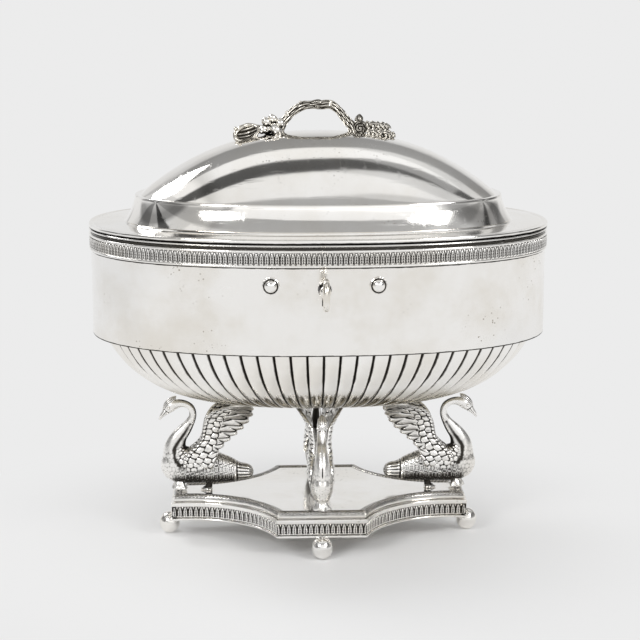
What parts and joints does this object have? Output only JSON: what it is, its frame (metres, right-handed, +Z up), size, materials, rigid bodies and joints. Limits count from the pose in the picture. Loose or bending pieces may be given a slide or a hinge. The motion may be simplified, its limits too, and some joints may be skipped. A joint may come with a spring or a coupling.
{
  "type": "sugar box",
  "caption": "Oval silver sugar box with hinged domed lid, branch handle and lock with key, over a fluted bowl on swans standing on a four-armed base with ball feet.",
  "frame": {"origin": "on the floor, under the middle of the outline with its hinge and key", "axes": "+Z up, +X to the right along the long side, -Y towards the viewer at the keyhole side"},
  "size_m": [0.19, 0.1446, 0.1847],
  "materials": {
    "polished_silver": "polished silver, lightly brushed",
    "cast_silver": "cast and chased silver with darkened hollows",
    "oxidised_silver": "stamped frieze with oxidised ground",
    "inside_silver": "matt silver",
    "lock_steel": "worn steel"
  },
  "bodies": {
    "box": {"base_platform": "polished_silver", "base_frieze_band": "oxidised_silver", "base_foot_bead": "polished_silver", "ball_foot_left": "polished_silver", "ball_foot_right": "polished_silver", "ball_foot_front": "polished_silver", "ball_foot_back": "polished_silver", "swan_left": "cast_silver", "swan_left_wing_l": "cast_silver", "swan_left_wing_r": "cast_silver", "swan_left_nut": "inside_silver", "swan_right": "cast_silver", "swan_right_wing_l": "cast_silver", "swan_right_wing_r": "cast_silver", "swan_right_nut": "inside_silver", "swan_front": "cast_silver", "swan_front_wing_l": "cast_silver", "swan_front_wing_r": "cast_silver", "swan_front_nut": "inside_silver", "swan_back": "cast_silver", "swan_back_wing_l": "cast_silver", "swan_back_wing_r": "cast_silver", "swan_back_nut": "inside_silver", "bowl": "polished_silver", "drum": "polished_silver", "rim_band": "oxidised_silver", "hinge_body_leaf": "polished_silver", "hinge_pin": "lock_steel", "lock_case": "lock_steel", "lock_cover": "lock_steel", "stud_collar_left": "polished_silver", "stud_left": "polished_silver", "stud_collar_right": "polished_silver", "stud_right": "polished_silver"},
    "lid": {"lid_shell": "polished_silver", "lid_edge_wire": "polished_silver", "lid_bezel": "inside_silver", "handle_branch": "cast_silver", "handle_berries": "cast_silver", "handle_flower": "cast_silver", "handle_leaf_left": "cast_silver", "handle_leaves_right": "cast_silver", "handle_nut_left": "inside_silver", "handle_nut_right": "inside_silver", "hinge_lid_leaf": "polished_silver", "lock_staple": "lock_steel"},
    "drill_pin": {"lock_drill_pin": "lock_steel"},
    "key": {"key": "lock_steel"},
    "bolt": {"lock_bolt": "lock_steel"}
  },
  "joints": [
    {"name": "lid_hinge", "type": "hinge", "parent": "box", "child": "lid", "pos_m": [0, 0.0701, 0.1317], "axis": [-1, 0, 0], "range_deg": [0, 100]},
    {"name": "key_turn", "type": "hinge", "parent": "box", "child": "drill_pin", "pos_m": [0, -0.0543, 0.1159], "axis": [0, 1, 0], "range_deg": [0, 90]},
    {"name": "key_withdraw", "type": "slide", "parent": "drill_pin", "child": "key", "axis": [0, -1, 0], "range_m": [0, 0.035]},
    {"name": "bolt_throw", "type": "slide", "parent": "box", "child": "bolt", "axis": [-1, 0, 0], "range_m": [0, 0.005]}
  ],
  "couplings": [
    {"joint": "key_turn", "follows": "bolt_throw", "rad_per_m": 314.16}
  ]
}
